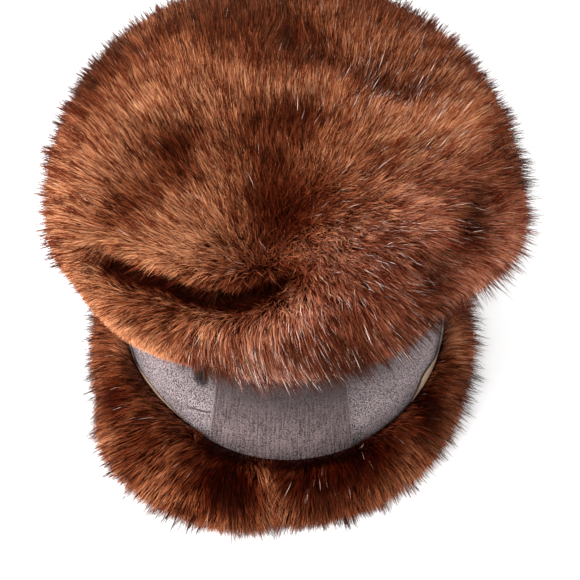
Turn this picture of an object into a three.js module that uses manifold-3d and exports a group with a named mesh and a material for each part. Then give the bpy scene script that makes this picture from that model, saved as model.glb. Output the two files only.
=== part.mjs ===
// A woman's fur hat: a puffed crown that overhangs a felt side band, a flat tab on the front of
// the band, and a narrow fur brim turned down all round.
// Millimetres, +Z up. The hat's front faces -Y. An angle round the head is 0 at the front and
// grows towards +X, and all such angles are in degrees.
import * as THREE from "three";
import Module from "manifold-3d";

const wasm = await Module();
wasm.setup();

const DEG = Math.PI / 180;

// Neighbouring pieces stay this far apart.
const GAP = 0.35;

// The side band is an oval tube of felt that leans in as it rises. Its foot is measured outside.
const BAND = { halfWidth: 87, halfLength: 96, foot: 33, top: 106, lean: 14, wall: 2.2 };

// Soft tucks in the band beside the tab. Each is a ridge from one angle and height to another.
const TUCKS = [
  { angle: -52, height: 56, toAngle: -38, toHeight: 60, raise: 1.3, spread: 4 },
  { angle: -41, height: 48, toAngle: -28, toHeight: 53, raise: 1.2, spread: 3 },
];
const MM_PER_DEGREE = 1.5;

// The tab is a piece of the same felt, laid flat over the front of the band, a little to one side.
const TAB = { middle: -1.5, halfAngle: 25, foot: 31.5, top: 103, wall: 2.2, crown: 1 };

// The bare edge of the brim's skin stands up along the band's foot, and shows most at one side.
const EDGE = { wall: 1.5, foot: 29, above: 1.2, endAngle: 28 };
const EDGE_SHOWING = { angle: 62, spread: 20, taller: 5.5 };

// The brim is a thick strip of fur outside the band's foot, with its hair lying outwards.
const BRIM = { width: 22, top: 37, wall: 15, rows: 4, columns: 96, lockRaise: 1.8 };
const BRIM_REST = { from: 0.4, to: 0.86 };
const BRIM_HOLLOW = { out: 3, height: 11 };

// The brim is wider and higher, or narrower, here and there round the head.
const BRIM_CHANGES = [
  { angle: -42, spread: 22, wider: 12, higher: 4 },
  { angle: -12, spread: 18, wider: 5, higher: 0 },
  { angle: 30, spread: 28, wider: 2, higher: 0 },
  { angle: 180, spread: 60, wider: 2, higher: 0 },
  { angle: -3, spread: 4, wider: -3, higher: 0 },
  { angle: -70, spread: 6, wider: -2, higher: 0 },
];

// The brim's fur face, from the band outwards: out as a share of its width, and height as a
// share of its top.
const BRIM_FACE = [
  { out: 0, height: 1 },
  { out: 0.2, height: 0.97 },
  { out: 0.5, height: 0.83 },
  { out: 0.8, height: 0.55 },
  { out: 1, height: 0.2 },
];

// The crown is a flattened ball about its own centre, deeper behind than in front.
const CROWN = {
  centre: 128,
  halfWidth: 120,
  front: 105,
  back: 139,
  up: 61,
  down: 34,
  squareness: 2.15,
  wall: 13,
};

// It hangs lower over the front and the back of the band, and is tucked up beside it.
const DROOPS = [
  { angle: 180, spread: 65, lower: 16 },
  { angle: -2, spread: 46, lower: 16 },
  { angle: 56, spread: 26, lower: -13 },
  { angle: -70, spread: 24, lower: -3 },
];

// The crown's hair lies outwards from a whorl low on its front. Each row of locks goes right
// round the whorl. The first rows are short, and the last one ends under the crown.
const WHORL = { angle: -1, rise: 25 };
const LOCKS = { rows: 16, shortRows: 4, columns: 80, underEdge: 190, raise: 2.6, valleyRaise: 1 };
const LINING = { rows: 12, columns: 44 };

// Folds of the crown are valleys that run through these places, each an angle round the head and
// a rise above the crown's centre. The inner face follows them by a share of their depth.
const INNER_FOLD_SHARE = 0.5;
const MEAN_RADIUS = 110;
const FOLDS = [
  {
    depth: 13,
    halfBreadth: 7,
    path: [
      { angle: -57, rise: 12 },
      { angle: -35, rise: 17 },
      { angle: -16, rise: 18 },
      { angle: 0, rise: 23 },
    ],
  },
  {
    depth: 8,
    halfBreadth: 12,
    path: [
      { angle: 76, rise: 17 },
      { angle: 62, rise: 16 },
      { angle: 45, rise: 14 },
    ],
  },
  {
    depth: 6,
    halfBreadth: 14,
    path: [
      { angle: 180, rise: 42 },
      { angle: 150, rise: 47 },
      { angle: 110, rise: 37 },
    ],
  },
];

// Broad swellings of the crown. A negative raise is a dent.
const SWELLINGS = [
  { angle: -65, rise: 44, spread: 20, raise: -3 },
  { angle: 2, rise: 46, spread: 26, raise: -2 },
  { angle: -25, rise: 34, spread: 18, raise: 4 },
  { angle: -40, rise: 2, spread: 18, raise: 3 },
  { angle: 50, rise: -8, spread: 18, raise: -13 },
  { angle: 74, rise: 5, spread: 14, raise: 3 },
  { angle: -115, rise: 45, spread: 30, raise: 3 },
];

const FUR = { color: 0x6e3420, roughness: 0.8, metalness: 0 };
const FELT = { color: 0x736364, roughness: 0.95, metalness: 0 };
const SKIN = { color: 0xb08a68, roughness: 0.7, metalness: 0 };

// 1 at the middle, falling off smoothly with distance.
function bell(distance, spread) {
  return Math.exp(-((distance / spread) ** 2));
}

// The difference of two angles, up to 180 degrees.
function angleBetween(angle, other) {
  const turn = Math.abs(angle - other) % 360;
  return Math.min(turn, 360 - turn);
}

function steps(from, to, count) {
  return Array.from({ length: count + 1 }, (unused, i) => THREE.MathUtils.lerp(from, to, i / count));
}

function distanceToPath(point, corners) {
  const nearest = new THREE.Vector3();
  const distances = corners.slice(1).map((corner, i) => {
    new THREE.Line3(corners[i], corner).closestPointToPoint(point, true, nearest);
    return nearest.distanceTo(point);
  });
  return Math.min(...distances);
}

function geometryOf(points, triangles) {
  const geometry = new THREE.BufferGeometry().setFromPoints(points);
  geometry.setIndex(triangles.flat());
  return geometry;
}

// A point at a height, out from the band's face and square to its oval.
function besideBand(angle, out, z) {
  const leanedIn = Math.max(0, z - BAND.foot) * Math.tan(BAND.lean * DEG);
  const across = BAND.halfWidth - leanedIn;
  const along = BAND.halfLength - leanedIn;
  const side = Math.sin(angle * DEG);
  const ahead = Math.cos(angle * DEG);
  const outwards = new THREE.Vector2(side / across, -ahead / along).setLength(out);
  return new THREE.Vector3(across * side + outwards.x, -along * ahead + outwards.y, z);
}

// A solid along the band, from its cross-section at each angle. A cross-section is a list of
// { out, z } points that goes up the outside and down the inside, and a solid that doesn't go
// all the way round has as many points inside as outside.
function besideBandSolid(angles, sectionAt, goesRound) {
  const sections = angles.map(sectionAt);
  const count = sections[0].length;
  const points = sections.flatMap((section, i) => section.map((p) => besideBand(angles[i], p.out, p.z)));
  const triangles = [];
  const addQuad = (a, b, c, d) => triangles.push([a, b, c], [a, c, d]);
  const spans = goesRound ? angles.length : angles.length - 1;
  for (let i = 0; i < spans; i++) {
    const here = i * count;
    const next = ((i + 1) % angles.length) * count;
    for (let j = 0; j < count; j++) {
      const above = (j + 1) % count;
      addQuad(here + j, next + j, next + above, here + above);
    }
  }
  if (!goesRound) {
    const end = (angles.length - 1) * count;
    for (let j = 0; j + 1 < count / 2; j++) {
      const across = count - 1 - j;
      addQuad(j, j + 1, across - 1, across);
      addQuad(end + j, end + across, end + across - 1, end + j + 1);
    }
  }
  return geometryOf(points, triangles);
}

function bandTube() {
  const tuckPlace = (angle, z) => new THREE.Vector3(angle * MM_PER_DEGREE, z, 0);
  const raiseAt = (angle, z) =>
    TUCKS.reduce((raise, tuck) => {
      const ridge = [tuckPlace(tuck.angle, tuck.height), tuckPlace(tuck.toAngle, tuck.toHeight)];
      const fromTab = angleBetween(angle, TAB.middle) - TAB.halfAngle;
      const besideTab = THREE.MathUtils.smoothstep(fromTab, 0, 4);
      return raise + besideTab * tuck.raise * bell(distanceToPath(tuckPlace(angle, z), ridge), tuck.spread);
    }, 0);
  const tucked = steps(-68, -26, 18);
  const plain = steps(-26, 292, 44).slice(1, -1);
  const heights = [BAND.foot, 38, 42, 46, 50, 54, 58, 63, 68, 74, 82, BAND.top];
  const section = (angle) => [
    ...heights.map((z) => ({ out: raiseAt(angle, z), z })),
    { out: -BAND.wall, z: BAND.top },
    { out: -BAND.wall, z: BAND.foot },
  ];
  return besideBandSolid([...tucked, ...plain], section, true);
}

// A strip that lies on the band's face. It is upright below the band's foot and leans in above.
function stripSection(outer, heights) {
  const inner = GAP;
  return [...heights.map((z) => ({ out: outer, z })), ...heights.toReversed().map((z) => ({ out: inner, z }))];
}

// The tab's sides are a little thinner than its middle, so that its face is softly crowned.
function tabPanel() {
  const heights = [TAB.foot, ...steps(BAND.foot, TAB.top, 3)];
  const section = (angle) => {
    const thinner = TAB.crown * ((angle - TAB.middle) / TAB.halfAngle) ** 4;
    return stripSection(GAP + TAB.wall - thinner, heights);
  };
  return besideBandSolid(steps(TAB.middle - TAB.halfAngle, TAB.middle + TAB.halfAngle, 20), section, false);
}

function brimSize(angle) {
  const size = new THREE.Vector2(BRIM.width, BRIM.top);
  for (const change of BRIM_CHANGES) {
    const share = bell(angleBetween(angle, change.angle), change.spread);
    size.x += change.wider * share;
    size.y += change.higher * share;
  }
  return size;
}

// The brim's skin edge is a strip outside the band's foot, from one side of the tab round to
// the other.
function skinEdge() {
  const section = (angle) => {
    const shown = EDGE_SHOWING.taller * bell(angleBetween(angle, EDGE_SHOWING.angle), EDGE_SHOWING.spread);
    const top = brimSize(angle).y + EDGE.above + shown;
    return stripSection(GAP + EDGE.wall, [EDGE.foot, BAND.foot, top]);
  };
  return besideBandSolid(steps(EDGE.endAngle, 360 - EDGE.endAngle, 60), section, false);
}

// The brim stands clear of the skin edge, and of the thicker tab at the front.
function brimInnerFace(angle) {
  const besideEdge = 2 * GAP + EDGE.wall;
  const besideTab = 2 * GAP + TAB.wall;
  const apart = angleBetween(angle, 0);
  const towardsEdge = THREE.MathUtils.smoothstep(apart, TAB.halfAngle + 1, EDGE.endAngle + 6);
  return THREE.MathUtils.lerp(besideTab, besideEdge, towardsEdge);
}

// Each row of the brim's locks rises to its tips and drops to the roots of the next row out.
function brimFur() {
  const face = new THREE.SplineCurve(BRIM_FACE.map((p) => new THREE.Vector2(p.out, p.height)));
  const angles = steps(0, 360, BRIM.columns).slice(0, -1);
  const section = (angle, column) => {
    const inner = brimInnerFace(angle);
    const size = brimSize(angle);
    const faceAt = (share, raise) => {
      const place = face.getPoint(share).multiply(size);
      const along = face.getTangent(share).multiply(size).normalize();
      return { out: inner + place.x - along.y * raise, z: place.y + along.x * raise };
    };
    const fur = [];
    for (let row = BRIM.rows - 1; row >= 0; row--) {
      const isTip = (row + column) % 2 === 0;
      fur.push(faceAt((row + (isTip ? 0.96 : 0.74)) / BRIM.rows, isTip ? BRIM.lockRaise : 0.6));
      fur.push(faceAt(row / BRIM.rows, 0));
    }
    return [
      { out: inner + BRIM_REST.from * size.x, z: 0 },
      { out: inner + BRIM_REST.to * size.x, z: 0 },
      ...fur,
      { out: inner, z: BAND.foot },
      { out: inner, z: BRIM.top - BRIM.wall },
      { out: inner + BRIM_HOLLOW.out, z: BRIM_HOLLOW.height },
    ];
  };
  return besideBandSolid(angles, section, true);
}

// A unit vector from the crown's centre.
function directionTo(angle, rise) {
  const level = Math.cos(rise * DEG);
  return new THREE.Vector3(Math.sin(angle * DEG) * level, -Math.cos(angle * DEG) * level, Math.sin(rise * DEG));
}

// The crown's face along a direction from its centre, with a share of the depth of its folds.
function crownRadius(direction, foldShare) {
  const { x, y, z } = direction;
  const depth = y < 0 ? CROWN.front : CROWN.back;
  const around = Math.atan2(x, -y) / DEG;
  const droop = (sum, part) => sum + part.lower * bell(angleBetween(around, part.angle), part.spread);
  const down = DROOPS.reduce(droop, CROWN.down);
  const halves = [x / CROWN.halfWidth, y / depth, z / (z > 0 ? CROWN.up : down)];
  const power = halves.reduce((sum, half) => sum + Math.abs(half) ** CROWN.squareness, 0);
  let radius = power ** (-1 / CROWN.squareness);
  const place = direction.clone().multiplyScalar(MEAN_RADIUS);
  for (const fold of FOLDS) {
    const corners = fold.path.map((p) => directionTo(p.angle, p.rise).multiplyScalar(MEAN_RADIUS));
    radius -= foldShare * fold.depth * bell(distanceToPath(place, corners), fold.halfBreadth);
  }
  for (const swelling of SWELLINGS) {
    const apart = direction.angleTo(directionTo(swelling.angle, swelling.rise)) / DEG;
    radius += swelling.raise * bell(apart, swelling.spread);
  }
  return radius;
}

// A direction reached from the whorl. The directions are laid out on a flat chart, seen from
// below, where the hair runs in straight lines from the whorl's place. A turn is measured along
// the hair that goes over the top of the crown.
function awayFromWhorl(turn, around) {
  const whorl = directionTo(WHORL.angle, WHORL.rise);
  const chart = new THREE.Vector2(whorl.x, whorl.y).divideScalar(1 + whorl.z);
  const reach = chart.length() + Math.tan((turn / 2) * DEG - Math.atan(chart.length()));
  chart.x += reach * Math.sin(around * DEG);
  chart.y += reach * Math.cos(around * DEG);
  const square = chart.lengthSq();
  return new THREE.Vector3(2 * chart.x, 2 * chart.y, 1 - square).divideScalar(1 + square);
}

// A closed skin of rings round the whorl. Each ring gives the turn and the radius's change in
// each column.
function ringedSkin(rings, columns, radiusAt) {
  const centre = new THREE.Vector3(0, 0, CROWN.centre);
  const pointAt = (direction, change) => direction.clone().setLength(radiusAt(direction) + change).add(centre);
  const points = [pointAt(awayFromWhorl(0, 0), 0)];
  for (const ring of rings) {
    for (let column = 0; column < columns; column++) {
      const { turn, change } = ring(column);
      points.push(pointAt(awayFromWhorl(turn, (360 * column) / columns), change));
    }
  }
  points.push(pointAt(new THREE.Vector3(0, 0, -1), 0));
  const triangles = [];
  const last = points.length - 1;
  for (let column = 0; column < columns; column++) {
    const next = (column + 1) % columns;
    triangles.push([0, 1 + next, 1 + column], [last, last - columns + column, last - columns + next]);
    for (let ring = 0; ring + 1 < rings.length; ring++) {
      const here = 1 + ring * columns;
      const below = here + columns;
      triangles.push([here + column, here + next, below + next], [here + column, below + next, below + column]);
    }
  }
  return geometryOf(points, triangles);
}

// Rows of locks: each row rises to its tips, and every second tip reaches further.
function crownFur() {
  const rowTurn = LOCKS.underEdge / LOCKS.rows;
  const rings = [];
  for (let row = 0; row < LOCKS.rows; row++) {
    const isTip = (column) => (row + column) % 2 === 0;
    const grown = Math.min(1, row / LOCKS.shortRows);
    const tip = { turn: (row + 0.96) * rowTurn, change: LOCKS.raise * grown };
    const valley = { turn: (row + 0.72) * rowTurn, change: LOCKS.valleyRaise * grown };
    rings.push(() => ({ turn: Math.max(row, 0.1) * rowTurn, change: 0 }));
    rings.push((column) => (isTip(column) ? tip : valley));
  }
  return ringedSkin(rings, LOCKS.columns, (direction) => crownRadius(direction, 1));
}

function crownInside() {
  const turns = steps(0, LOCKS.underEdge, LINING.rows).slice(1);
  const rings = turns.map((turn) => () => ({ turn, change: 0 }));
  return ringedSkin(rings, LINING.columns, (direction) => crownRadius(direction, INNER_FOLD_SHARE) - CROWN.wall);
}

function solidOf(geometry) {
  const vertProperties = geometry.attributes.position.array;
  const triVerts = Uint32Array.from(geometry.index.array);
  return new wasm.Manifold(new wasm.Mesh({ numProp: 3, vertProperties, triVerts }));
}

function geometryFrom(solid) {
  const { vertProperties, triVerts } = solid.getMesh();
  const geometry = new THREE.BufferGeometry();
  geometry.setAttribute("position", new THREE.BufferAttribute(vertProperties, 3));
  geometry.setIndex(new THREE.BufferAttribute(triVerts, 1));
  return geometry;
}

// The space of the band and the head, which the crown is open for: an oval plug as far out as
// the band's face and a gap, or the tab's face and a gap in front of it.
function bandSpace(from, to, out, angles) {
  const isWhole = angles === undefined;
  const used = isWhole ? steps(0, 360, 96).slice(0, -1) : angles;
  const lower = used.map((angle) => besideBand(angle, out, from));
  const upper = used.map((angle) => besideBand(angle, out, to));
  const points = [...lower, ...upper, new THREE.Vector3(0, 0, from), new THREE.Vector3(0, 0, to)];
  const count = used.length;
  const [floor, lid] = [2 * count, 2 * count + 1];
  const triangles = [];
  for (let i = 0; i < (isWhole ? count : count - 1); i++) {
    const j = (i + 1) % count;
    triangles.push([i, j, count + j], [i, count + j, count + i], [floor, j, i], [lid, count + i, count + j]);
  }
  if (!isWhole) {
    const end = count - 1;
    triangles.push([floor, 0, count], [floor, count, lid], [floor, lid, count + end], [floor, count + end, end]);
  }
  return geometryOf(points, triangles);
}

function crownWall() {
  const spaceOut = GAP;
  const tabOut = 2 * GAP + TAB.wall;
  const clearOfTab = TAB.halfAngle + 0.6;
  const tabAngles = steps(TAB.middle - clearOfTab, TAB.middle + clearOfTab, 20);
  const plugFoot = BAND.foot + 20;
  const whole = solidOf(crownFur())
    .subtract(solidOf(crownInside()))
    .subtract(solidOf(bandSpace(plugFoot, BAND.top + 12, spaceOut)))
    .subtract(solidOf(bandSpace(plugFoot, TAB.top + GAP, tabOut, tabAngles)));
  return geometryFrom(whole);
}

function piece(name, geometry, finish) {
  const mesh = new THREE.Mesh(geometry, new THREE.MeshStandardMaterial(finish));
  mesh.name = name;
  return mesh;
}

const hat = new THREE.Group();
hat.add(piece("crown", crownWall(), FUR));
hat.add(piece("hat_band", bandTube(), FELT));
hat.add(piece("band_tab", tabPanel(), FELT));
hat.add(piece("pelt_edge", skinEdge(), SKIN));
hat.add(piece("brim", brimFur(), FUR));

// The origin is the middle of the whole hat's footprint, at the height that it rests on.
const extent = new THREE.Box3().setFromObject(hat);
const middle = extent.getCenter(new THREE.Vector3());
hat.position.set(-middle.x, -middle.y, -extent.min.z);
hat.updateMatrixWorld(true);

export default hat;
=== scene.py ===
import math

import bpy
import numpy as np
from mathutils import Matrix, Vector


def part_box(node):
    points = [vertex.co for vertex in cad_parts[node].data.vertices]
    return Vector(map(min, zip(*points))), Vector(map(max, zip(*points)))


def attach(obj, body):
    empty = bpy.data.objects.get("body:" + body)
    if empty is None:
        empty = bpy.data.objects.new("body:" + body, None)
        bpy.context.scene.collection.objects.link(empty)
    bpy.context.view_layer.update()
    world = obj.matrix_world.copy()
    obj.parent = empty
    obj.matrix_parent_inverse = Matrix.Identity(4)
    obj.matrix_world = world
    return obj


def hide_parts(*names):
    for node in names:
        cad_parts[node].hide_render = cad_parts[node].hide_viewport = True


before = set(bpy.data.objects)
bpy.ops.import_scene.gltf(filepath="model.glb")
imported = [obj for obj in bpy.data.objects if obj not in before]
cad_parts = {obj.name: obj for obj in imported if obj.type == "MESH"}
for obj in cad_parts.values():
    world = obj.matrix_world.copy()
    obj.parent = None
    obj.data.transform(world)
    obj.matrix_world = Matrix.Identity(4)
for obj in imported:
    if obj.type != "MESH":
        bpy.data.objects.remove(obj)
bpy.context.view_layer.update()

# The view: from in front of the hat and well above it, as a hat is seen on a counter.
# The head's upright axis is the middle of the felt band, and all sizes of the soft
# pieces are worked out in millimetres from that axis and the floor.
band_low, band_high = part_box("hat_band")
HEAD_X = (band_low.x + band_high.x) / 2
HEAD_Y = (band_low.y + band_high.y) / 2
VIEW_HEIGHT = 0.080
VIEW_DISTANCE = 0.760
VIEW_ELEVATION = math.radians(53)
VIEW_LENS = 89.4
VIEW_SHIFT = (0.0086, -0.0603)

camera_data = bpy.data.cameras.new("photo_camera")
camera_data.sensor_width = 36
camera_data.lens = VIEW_LENS
camera_data.shift_x, camera_data.shift_y = VIEW_SHIFT
camera_data.clip_start = 0.01
camera = bpy.data.objects.new("photo_camera", camera_data)
camera.location = (
    HEAD_X,
    HEAD_Y - VIEW_DISTANCE * math.cos(VIEW_ELEVATION),
    VIEW_HEIGHT + VIEW_DISTANCE * math.sin(VIEW_ELEVATION),
)
camera.rotation_euler = (math.pi / 2 - VIEW_ELEVATION, 0, 0)
bpy.context.collection.objects.link(camera)
bpy.context.scene.camera = camera
bpy.context.scene.view_settings.view_transform = "Standard"

# The side band is one oval ring of grey wool felt, cut as a strip, pressed over a block
# and sewn at the back. It leans in as it rises, its foot is sewn to the brim's pelt, and
# its top is hidden in the crown. Beside the tab the felt is puckered by a few tucks.
BAND_HALF_WIDTH = 87
BAND_HALF_LENGTH = 96
BAND_FOOT = 33
BAND_HEM = 30.6
BAND_TOP = 106
BAND_LEAN = math.tan(math.radians(14))
BAND_WALL = 2.2
MM_PER_DEGREE = 1.5
TAB_HALF_ANGLE = 25
TAB_MIDDLE = -1.5
TAB_FOOT = 31.5
TAB_TOP = 103
BAND_DARK = (0.040, 0.030, 0.031)
BAND_PALE = (0.325, 0.260, 0.268)
# how many of the felt's specks, mottles and clouds go to a metre
FELT_SPECKS = 2300
FELT_MOTTLES = 420
FELT_CLOUDS = 70
# Between these heights, up under the crown, the felt's colour is painted darker: painted shade
# from the crown's overhang.
UNDER_CROWN_SHADE_FROM = 51
UNDER_CROWN_SHADE_TO = 78
UNDER_CROWN_SHADE_SHARE = 0.72
# angle, height, then the same of the other end, how far it stands out, and its half breadth
BAND_TUCKS = [
    (-52, 56, -38, 60, 1.3, 3.0),
    (-41, 48, -28, 53, 1.2, 2.2),
    (-38, 48.4, -27, 54.4, -0.8, 1.0),
    (-47, 63, -38.5, 59.5, -1.1, 1.8),
    (46, 60, 31, 66, 0.5, 5.0),
    (-33.3, 74, -33.3, 104, -1.3, 3.2),
]
# The sharpest tuck is a shallow groove whose shade is painted as a thin dark line on the felt,
# between these ends along the band and up. The last tuck runs up under the crown, and the
# shade at its open foot is painted as a dark hollow.
WRINKLE = ((-57.5, 48.2), (-41.0, 54.2))
HOLLOW_SHADE_FOOT = (-50, 74.5)
# how much of each fades out in a millimetre: across the line, and across and down the hollow
WRINKLE_FADE = 1.2
HOLLOW_FADE = (0.16, 0.11)
HOLLOW_TAPER = 0.012


def bell(distance, spread):
    return np.exp(-((distance / spread) ** 2))


def smoothstep(value, start, end):
    share = np.clip((value - start) / (end - start), 0, 1)
    return share * share * (3 - 2 * share)


def angle_between(angle, other):
    turn = np.abs(angle - other) % 360
    return np.minimum(turn, 360 - turn)


def bell_round(angle, middle, spread):
    return bell(angle_between(angle, middle), spread)


def round_head(x, y):
    """The angle round the head, from the front to the wearer's left."""
    return np.degrees(np.arctan2(x, -y))


def unit(vectors):
    return vectors / np.maximum(np.linalg.norm(vectors, axis=-1, keepdims=True), 1e-9)


def distance_to_path(points, corners):
    nearest = np.full(points.shape[:-1], np.inf)
    for start, end in zip(corners[:-1], corners[1:]):
        along = end - start
        share = np.clip(((points - start) @ along) / (along @ along), 0, 1)
        away = points - start - share[..., None] * along
        nearest = np.minimum(nearest, np.linalg.norm(away, axis=-1))
    return nearest


def beside_band(angle, out, height):
    """Points at an angle round the head and a height, out from the band's face."""
    leaned_in = np.maximum(0, height - BAND_FOOT) * BAND_LEAN
    across = BAND_HALF_WIDTH - leaned_in
    along = BAND_HALF_LENGTH - leaned_in
    side = np.sin(np.radians(angle))
    ahead = np.cos(np.radians(angle))
    outwards = unit(np.stack([side / across, -ahead / along], -1))
    x = across * side + outwards[..., 0] * out
    y = -along * ahead + outwards[..., 1] * out
    return np.stack([x, y, height + 0 * x], -1)


def set_points(piece, points):
    """Moves a piece's vertices to these places, given in millimetres from the head's axis."""
    placed = points / 1000 + np.array([HEAD_X, HEAD_Y, 0])
    piece.data.vertices.foreach_set("co", placed.astype(np.float32).ravel())
    piece.data.update()


def points_of(piece):
    found = np.empty(len(piece.data.vertices) * 3, np.float32)
    piece.data.vertices.foreach_get("co", found)
    return found.reshape(-1, 3).astype(float)


def start_piece(name, add, **sizes):
    """Adds a primitive by itself and gives it a name."""
    bpy.ops.object.select_all(action="DESELECT")
    add(**sizes)
    piece = bpy.context.object
    piece.name = piece.data.name = name
    return piece


def start_sheet(name, columns, rows):
    add = bpy.ops.mesh.primitive_grid_add
    return start_piece(name, add, x_subdivisions=columns, y_subdivisions=rows, size=2)


def add_modifier(piece, kind, **settings):
    """Adds a modifier to the piece and applies it."""
    modifier = piece.modifiers.new(kind, kind)
    for setting, value in settings.items():
        setattr(modifier, setting, value)
    bpy.context.view_layer.objects.active = piece
    bpy.ops.object.modifier_apply(modifier=modifier.name)


def merge_seam(piece, distance):
    bpy.context.view_layer.objects.active = piece
    bpy.ops.object.mode_set(mode="EDIT")
    bpy.ops.mesh.select_all(action="SELECT")
    bpy.ops.mesh.remove_doubles(threshold=distance)
    bpy.ops.mesh.normals_make_consistent(inside=False)
    bpy.ops.object.mode_set(mode="OBJECT")


def shade_smooth(piece, degrees=50):
    bpy.ops.object.select_all(action="DESELECT")
    piece.select_set(True)
    bpy.context.view_layer.objects.active = piece
    bpy.ops.object.shade_smooth_by_angle(angle=math.radians(degrees))


def fit_piece(piece, finish, node):
    """Gives a piece its finish and its place in the frame."""
    if finish is not None:
        piece.data.materials.append(finish)
    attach(piece, "root")
    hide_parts(node)


class Signal:
    """A node's output, which adds Math nodes when it is used in an expression."""

    def __init__(self, finish, socket):
        self.finish = finish
        self.socket = socket

    def maths(self, operation, other=0.0):
        return self.finish.add("Math", {0: self, 1: other}, operation=operation)

    def __add__(self, other):
        return self.maths("ADD", other)

    def __sub__(self, other):
        return self.maths("SUBTRACT", other)

    def __mul__(self, other):
        return self.maths("MULTIPLY", other)

    def __pow__(self, other):
        return self.maths("POWER", other)

    def wave(self, length):
        return (self * (2 * math.pi / length)).maths("SINE")

    def part(self, axis):
        return self.finish.add("SeparateXYZ", {0: self}, axis)

    def ramp(self, stops):
        """Colours through these stops, each a place and a colour."""
        ramp = self.finish.add("ValToRGB", {"Fac": self})
        elements = ramp.socket.node.color_ramp.elements
        while len(elements) < len(stops):
            elements.new(0.5)
        for element, (place, colour) in zip(elements, stops):
            element.position = place
            element.color = (*colour, 1)
        return ramp

    def fade(self, *stops):
        """Greys through these stops, each a place and a brightness."""
        return self.ramp([(place, (grey, grey, grey)) for place, grey in stops])


class Finish:
    """A material, and short ways to add its nodes."""

    def __init__(self, name, **constants):
        self.material = bpy.data.materials.new(name)
        self.material.use_nodes = True
        self.tree = self.material.node_tree
        self.shader = self.tree.nodes["Principled BSDF"]
        for socket, value in constants.items():
            self.shader.inputs[socket.replace("_", " ")].default_value = value

    def join(self, socket, value):
        if isinstance(value, Signal):
            self.tree.links.new(value.socket, socket)
        else:
            socket.default_value = value

    def add(self, kind, sockets=None, output=0, **settings):
        """Adds a node with these settings, and joins values or signals to its sockets."""
        node = self.tree.nodes.new("ShaderNode" + kind)
        for setting, value in settings.items():
            setattr(node, setting, value)
        for socket, value in (sockets or {}).items():
            self.join(node.inputs[socket], value)
        return Signal(self, node.outputs[output])

    def noise(self, scale, detail=2, place=None):
        """A cloudy pattern in the object's own space, or on another place that is given."""
        place = place or self.add("TexCoord", output=3)
        return self.add("TexNoise", {"Vector": place, "Scale": scale, "Detail": detail})

    def bump(self, height, strength=0.5, distance=0.0005):
        return self.add("Bump", {"Strength": strength, "Distance": distance, "Height": height})

    def mix(self, factor, first, second, **settings):
        colours = {6: first, 7: second}
        for socket, colour in colours.items():
            if not isinstance(colour, Signal):
                colours[socket] = (*colour, 1)
        return self.add("Mix", {0: factor, **colours}, 2, data_type="RGBA", **settings)

    def dress(self, **sockets):
        for socket, value in sockets.items():
            self.join(self.shader.inputs[socket.replace("_", " ")], value)
        return self.material


class WoolFelt(Finish):
    """Napped wool felt: matted fibres, mottling, soft clouds and pale specks."""

    def __init__(self, name, dark, pale, fibres_per_metre, contrast):
        super().__init__(
            name, Roughness=0.95, Sheen_Weight=0.05, Sheen_Roughness=0.5, Specular_IOR_Level=0.05
        )
        self.dark, self.pale = dark, pale
        fibres = self.noise(fibres_per_metre, detail=1)
        clouds = self.noise(FELT_CLOUDS)
        mottles = self.noise(FELT_MOTTLES)
        self.shade = (fibres - 0.5) * contrast + (clouds - 0.5) * 0.5 + (mottles - 0.5) * 0.4 + 0.5
        self.nap = fibres * 0.8 + mottles * 0.5
        # the sheet laid out flat, and the place on it, along and up in millimetres
        self.sheet = self.add("UVMap", uv_map="UVMap")
        self.across = self.sheet.part(0) * 1000
        self.upwards = self.sheet.part(1) * 1000

    def colour(self, foot):
        """The colour of a sheet whose foot is at this height, painted darker up under the crown as
        shade.
        """
        # Painted shade: the felt darkens towards its dark colour as it goes up under the crown.
        under_crown_shade = (self.upwards + (foot - UNDER_CROWN_SHADE_FROM)) * (1 / (UNDER_CROWN_SHADE_TO - UNDER_CROWN_SHADE_FROM))
        under_crown_shade = under_crown_shade.fade((0, 0), (1, UNDER_CROWN_SHADE_SHARE))
        return self.mix(under_crown_shade, self.mix(self.shade, self.dark, self.pale), self.dark)

    def napped(self, colour):
        """The finished material, with its specks and the relief of its nap."""
        specks = self.noise(FELT_SPECKS, detail=1).fade((0.66, 0), (0.74, 1))
        colour = self.mix(specks * 0.4, colour, tuple(min(1, 1.9 * part) for part in self.pale))
        return self.dress(Base_Color=colour, Normal=self.bump(self.nap))


def painted_wrinkle_shade(felt):
    """Painted shade of a tuck: a thin line that starts softly and fades out across its width."""
    (x, y), (end_x, end_y) = WRINKLE
    length = math.hypot(end_x - x, end_y - y)
    run_x, run_y = (end_x - x) / length, (end_y - y) / length
    from_x, from_y = felt.across - x, felt.upwards - y
    along = from_x * (run_x / length) + from_y * (run_y / length)
    off = (from_y * run_x - from_x * run_y) * WRINKLE_FADE
    ends = along.fade((0, 0), (0.12, 0.6), (0.4, 1), (0.95, 1), (1, 0))
    return (off**2).fade((0.05, 1), (1, 0)) * ends


def painted_hollow_shade(felt):
    """Painted shade of a hollow: a dark patch that is round below and tapers upwards."""
    x, y = HOLLOW_SHADE_FOOT
    above = (felt.upwards - y).maths("MAXIMUM")
    below = (felt.upwards - y).maths("MINIMUM")
    fade_across, fade_down = HOLLOW_FADE
    off = ((felt.across - x) * (above * HOLLOW_TAPER + fade_across)) ** 2
    return (off + (below * fade_down) ** 2).fade((0.35, 1), (1, 0))


band_felt = WoolFelt("grey_wool_felt", BAND_DARK, BAND_PALE, fibres_per_metre=1600, contrast=7.4)
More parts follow.
